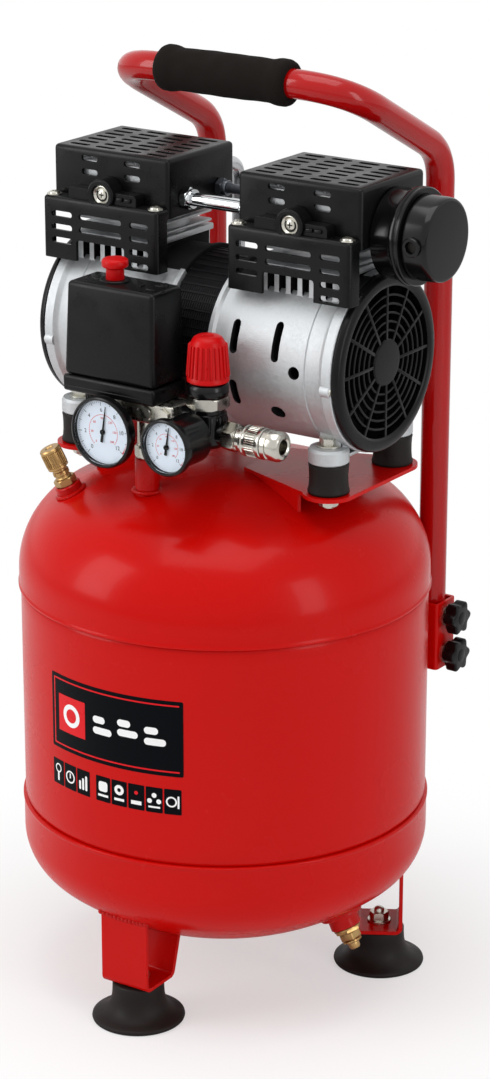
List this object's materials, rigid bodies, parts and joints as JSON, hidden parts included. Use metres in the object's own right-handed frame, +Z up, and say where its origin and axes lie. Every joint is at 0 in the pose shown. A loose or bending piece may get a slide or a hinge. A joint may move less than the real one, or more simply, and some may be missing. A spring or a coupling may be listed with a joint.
{
  "type": "air compressor",
  "caption": "Upright oil-free workshop air compressor: vertical tank on rubber feet, twin-head motor pump on top, pressure switch, gauges, regulator with quick coupler, and a rear tube handle.",
  "frame": {"origin": "middle of the footprint of the whole object, on the floor under the feet", "axes": "+Z up; X along the motor shaft, +X towards the intake filter and the coupler outlet; -Y the front with the gauges"},
  "size_m": [0.3376, 0.3126, 0.72],
  "materials": {
    "red_paint": "gloss enamel, slight orange peel",
    "rubber": "matt moulded rubber",
    "foam": "matt foam sleeve",
    "black_plastic": "fine moulded grain, satin",
    "red_plastic": "satin moulded",
    "cast_aluminium": "blasted die casting",
    "dark_steel": "lacquered laminations and dark plated tube",
    "zinc_steel": "zinc plated",
    "chrome": "bright plated",
    "brass": "turned brass",
    "nickel": "nickel plated",
    "dial_white": "printed dial",
    "clear_lens": "clear window",
    "copper_wire": "dark lacquered winding",
    "decal_black": "gloss film",
    "decal_white": "gloss film"
  },
  "bodies": {
    "tank_and_pump": {"tank_shell": "red_paint", "tank_top": "red_paint", "tank_bottom": "red_paint", "drain_seat": "brass", "leg_front": "red_paint", "foot_front": "rubber", "leg_right": "red_paint", "foot_right": "rubber", "leg_left": "red_paint", "foot_left": "rubber", "bracket_left": "red_paint", "buffer_front_left": "rubber", "buffer_rear_left": "rubber", "bracket_right": "red_paint", "buffer_front_right": "rubber", "buffer_rear_right": "rubber", "stator": "dark_steel", "crankcase_left": "cast_aluminium", "grille_left": "black_plastic", "cylinder_left": "cast_aluminium", "cover_left": "black_plastic", "shroud_left": "black_plastic", "crankcase_right": "cast_aluminium", "grille_right": "black_plastic", "cylinder_right": "cast_aluminium", "cover_right": "black_plastic", "shroud_right": "black_plastic", "transfer_pipe_front": "chrome", "transfer_pipe_rear": "dark_steel", "filter_body": "black_plastic", "filter_cap": "black_plastic", "delivery_line": "brass", "manifold": "zinc_steel", "switch_base": "black_plastic", "switch_cover": "black_plastic", "gauge_large_case": "black_plastic", "gauge_small_case": "black_plastic", "regulator_body": "black_plastic", "regulator_nut": "nickel", "regulator_collar": "black_plastic", "coupler_body": "nickel", "safety_valve_body": "brass", "handle_tube": "red_paint", "handle_grip": "foam", "handle_bracket_left": "red_paint", "handle_bracket_right": "red_paint"},
    "rotor": {"rotor": "zinc_steel"},
    "piston_left": {"piston_left": "cast_aluminium"},
    "piston_right": {"piston_right": "cast_aluminium"},
    "switch_button": {"switch_button": "red_plastic"},
    "regulator_knob": {"regulator_knob": "red_plastic"},
    "coupler_sleeve": {"coupler_sleeve": "nickel"},
    "safety_valve_cap": {"safety_valve_cap": "brass"},
    "gauge_large_pointer": {"gauge_large_pointer": "black_plastic"},
    "gauge_small_pointer": {"gauge_small_pointer": "black_plastic"},
    "drain_screw": {"drain_screw": "brass"},
    "star_knob_upper_left": {"star_knob_upper_left": "black_plastic"},
    "star_knob_lower_left": {"star_knob_lower_left": "black_plastic"},
    "star_knob_upper_right": {"star_knob_upper_right": "black_plastic"},
    "star_knob_lower_right": {"star_knob_lower_right": "black_plastic"}
  },
  "joints": [
    {"name": "rotor_spin", "type": "hinge", "parent": "tank_and_pump", "child": "rotor", "pos_m": [-0.0126, 0.01412, 0.50689], "axis": [1, 0, 0], "continuous": true},
    {"name": "piston_left_stroke", "type": "slide", "parent": "tank_and_pump", "child": "piston_left", "axis": [0, 0, 1], "range_m": [-0.007, 0.007]},
    {"name": "piston_right_stroke", "type": "slide", "parent": "tank_and_pump", "child": "piston_right", "axis": [0, 0, 1], "range_m": [-0.007, 0.007]},
    {"name": "switch_button_press", "type": "slide", "parent": "tank_and_pump", "child": "switch_button", "axis": [0, 0, 1], "range_m": [-0.006, 0]},
    {"name": "regulator_knob_turn", "type": "hinge", "parent": "tank_and_pump", "child": "regulator_knob", "pos_m": [0.0256, -0.07488, 0.51559], "axis": [0, 0, 1], "range_deg": [-540, 540]},
    {"name": "coupler_sleeve_release", "type": "slide", "parent": "tank_and_pump", "child": "coupler_sleeve", "axis": [1, 0, 0], "range_m": [-0.004, 0], "stiffness_N_per_m": 1500},
    {"name": "safety_valve_pull", "type": "slide", "parent": "tank_and_pump", "child": "safety_valve_cap", "axis": [-0.3023, -0.2741, 0.913], "range_m": [0, 0.0025], "stiffness_N_per_m": 2000},
    {"name": "gauge_large_needle", "type": "hinge", "parent": "tank_and_pump", "child": "gauge_large_pointer", "pos_m": [-0.0462, -0.10663, 0.45549], "axis": [0, 1, 0], "range_deg": [-143, 127], "stiffness_Nm_per_rad": 0.002},
    {"name": "gauge_small_needle", "type": "hinge", "parent": "tank_and_pump", "child": "gauge_small_pointer", "pos_m": [0.0256, -0.12663, 0.46169], "axis": [0, 1, 0], "range_deg": [-143, 127], "stiffness_Nm_per_rad": 0.002},
    {"name": "drain_screw_turn", "type": "hinge", "parent": "tank_and_pump", "child": "drain_screw", "pos_m": [0.09234, 0.00379, 0.06621], "axis": [0.4633, 0.0162, -0.8861], "range_deg": [0, 360]},
    {"name": "star_knob_upper_left_turn", "type": "hinge", "parent": "tank_and_pump", "child": "star_knob_upper_left", "pos_m": [-0.1361, 0.13219, 0.2729], "axis": [1, 0, 0], "continuous": true},
    {"name": "star_knob_lower_left_turn", "type": "hinge", "parent": "tank_and_pump", "child": "star_knob_lower_left", "pos_m": [-0.1361, 0.13219, 0.2422], "axis": [1, 0, 0], "continuous": true},
    {"name": "star_knob_upper_right_turn", "type": "hinge", "parent": "tank_and_pump", "child": "star_knob_upper_right", "pos_m": [0.1109, 0.13219, 0.2729], "axis": [1, 0, 0], "continuous": true},
    {"name": "star_knob_lower_right_turn", "type": "hinge", "parent": "tank_and_pump", "child": "star_knob_lower_right", "pos_m": [0.1109, 0.13219, 0.2422], "axis": [1, 0, 0], "continuous": true}
  ]
}
